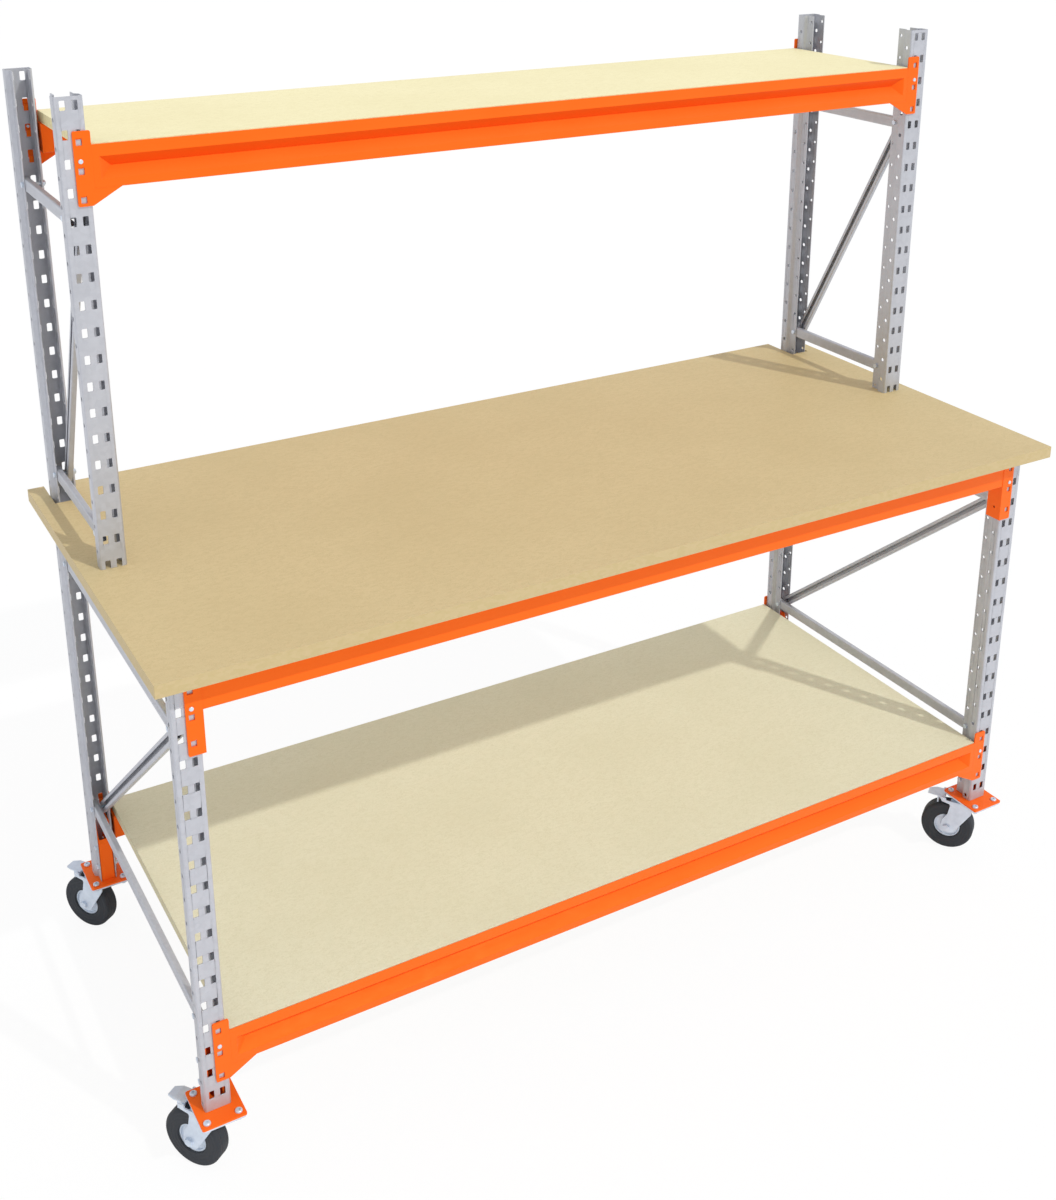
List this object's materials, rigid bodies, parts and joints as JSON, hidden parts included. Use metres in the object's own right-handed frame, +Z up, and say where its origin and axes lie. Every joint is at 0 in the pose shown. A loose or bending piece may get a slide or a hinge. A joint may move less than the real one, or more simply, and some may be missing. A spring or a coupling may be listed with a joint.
{
  "type": "mobile assembly table",
  "caption": "Boltless steel workbench on swivel casters: perforated posts carry orange hooked beams, a deep worktop, a shallow shelf above it and a deep shelf below.",
  "frame": {"origin": "on the floor, under the centre of the footprint of the whole table with its casters at rest", "axes": "+X to the right along the table, +Y to the rear, +Z up"},
  "size_m": [2.0489, 0.9348, 1.955],
  "materials": {
    "board": "plain pressed board with a light top face",
    "galvanised": "galvanised sheet steel",
    "orange_paint": "orange powder coat, semi-gloss",
    "zinc": "bright zinc plating",
    "tyre": "dark grey rubber"
  },
  "bodies": {
    "frame": {"worktop": "board", "upper_shelf": "board", "lower_shelf": "board", "lower_front_left_post": "galvanised", "lower_front_right_post": "galvanised", "rear_left_post": "galvanised", "rear_right_post": "galvanised", "upper_front_left_post": "galvanised", "upper_front_right_post": "galvanised", "lower_front_beam": "orange_paint", "lower_rear_beam": "orange_paint", "lower_hook_plates": "orange_paint", "worktop_front_beam": "orange_paint", "worktop_rear_beam": "orange_paint", "worktop_hook_plates": "orange_paint", "upper_front_beam": "orange_paint", "upper_rear_beam": "orange_paint", "upper_hook_plates": "orange_paint", "lock_pins": "zinc", "lower_left_bottom_brace": "galvanised", "lower_left_top_brace": "galvanised", "lower_left_diagonal_brace": "galvanised", "lower_right_bottom_brace": "galvanised", "lower_right_top_brace": "galvanised", "lower_right_diagonal_brace": "galvanised", "upper_left_bottom_brace": "galvanised", "upper_left_top_brace": "galvanised", "upper_left_diagonal_brace": "galvanised", "upper_right_bottom_brace": "galvanised", "upper_right_top_brace": "galvanised", "upper_right_diagonal_brace": "galvanised", "frame_bolts": "zinc", "front_left_foot": "orange_paint", "front_right_foot": "orange_paint", "rear_left_foot": "orange_paint", "rear_right_foot": "orange_paint", "caster_plates": "zinc", "caster_screws": "zinc"},
    "front_left_swivel": {"front_left_fork": "zinc", "front_left_axle": "zinc"},
    "front_left_wheel": {"front_left_rim": "zinc", "front_left_tyre": "tyre"},
    "front_left_brake": {"front_left_pedal": "zinc"},
    "front_right_swivel": {"front_right_fork": "zinc", "front_right_axle": "zinc"},
    "front_right_wheel": {"front_right_rim": "zinc", "front_right_tyre": "tyre"},
    "front_right_brake": {"front_right_pedal": "zinc"},
    "rear_left_swivel": {"rear_left_fork": "zinc", "rear_left_axle": "zinc"},
    "rear_left_wheel": {"rear_left_rim": "zinc", "rear_left_tyre": "tyre"},
    "rear_left_brake": {"rear_left_pedal": "zinc"},
    "rear_right_swivel": {"rear_right_fork": "zinc", "rear_right_axle": "zinc"},
    "rear_right_wheel": {"rear_right_rim": "zinc", "rear_right_tyre": "tyre"},
    "rear_right_brake": {"rear_right_pedal": "zinc"}
  },
  "joints": [
    {"name": "front_left_swivel_turn", "type": "hinge", "parent": "frame", "child": "front_left_swivel", "pos_m": [-0.94805, -0.40243, 0.137], "axis": [0, 0, 1], "continuous": true},
    {"name": "front_left_wheel_spin", "type": "hinge", "parent": "front_left_swivel", "child": "front_left_wheel", "pos_m": [-0.97702, -0.36106, 0.0625], "axis": [-0.8192, -0.5736, 0], "continuous": true},
    {"name": "front_left_brake_press", "type": "hinge", "parent": "front_left_swivel", "child": "front_left_brake", "pos_m": [-0.98476, -0.35, 0.137], "axis": [-0.8192, -0.5736, 0], "range_deg": [0, 8]},
    {"name": "front_right_swivel_turn", "type": "hinge", "parent": "frame", "child": "front_right_swivel", "pos_m": [0.96495, -0.40243, 0.137], "axis": [0, 0, 1], "continuous": true},
    {"name": "front_right_wheel_spin", "type": "hinge", "parent": "front_right_swivel", "child": "front_right_wheel", "pos_m": [0.93598, -0.36106, 0.0625], "axis": [-0.8192, -0.5736, 0], "continuous": true},
    {"name": "front_right_brake_press", "type": "hinge", "parent": "front_right_swivel", "child": "front_right_brake", "pos_m": [0.92824, -0.35, 0.137], "axis": [-0.8192, -0.5736, 0], "range_deg": [0, 8]},
    {"name": "rear_left_swivel_turn", "type": "hinge", "parent": "frame", "child": "rear_left_swivel", "pos_m": [-0.94805, 0.36757, 0.137], "axis": [0, 0, 1], "continuous": true},
    {"name": "rear_left_wheel_spin", "type": "hinge", "parent": "rear_left_swivel", "child": "rear_left_wheel", "pos_m": [-0.97702, 0.40894, 0.0625], "axis": [-0.8192, -0.5736, 0], "continuous": true},
    {"name": "rear_left_brake_press", "type": "hinge", "parent": "rear_left_swivel", "child": "rear_left_brake", "pos_m": [-0.98476, 0.42, 0.137], "axis": [-0.8192, -0.5736, 0], "range_deg": [0, 8]},
    {"name": "rear_right_swivel_turn", "type": "hinge", "parent": "frame", "child": "rear_right_swivel", "pos_m": [0.96495, 0.36757, 0.137], "axis": [0, 0, 1], "continuous": true},
    {"name": "rear_right_wheel_spin", "type": "hinge", "parent": "rear_right_swivel", "child": "rear_right_wheel", "pos_m": [0.93598, 0.40894, 0.0625], "axis": [-0.8192, -0.5736, 0], "continuous": true},
    {"name": "rear_right_brake_press", "type": "hinge", "parent": "rear_right_swivel", "child": "rear_right_brake", "pos_m": [0.92824, 0.42, 0.137], "axis": [-0.8192, -0.5736, 0], "range_deg": [0, 8]}
  ]
}
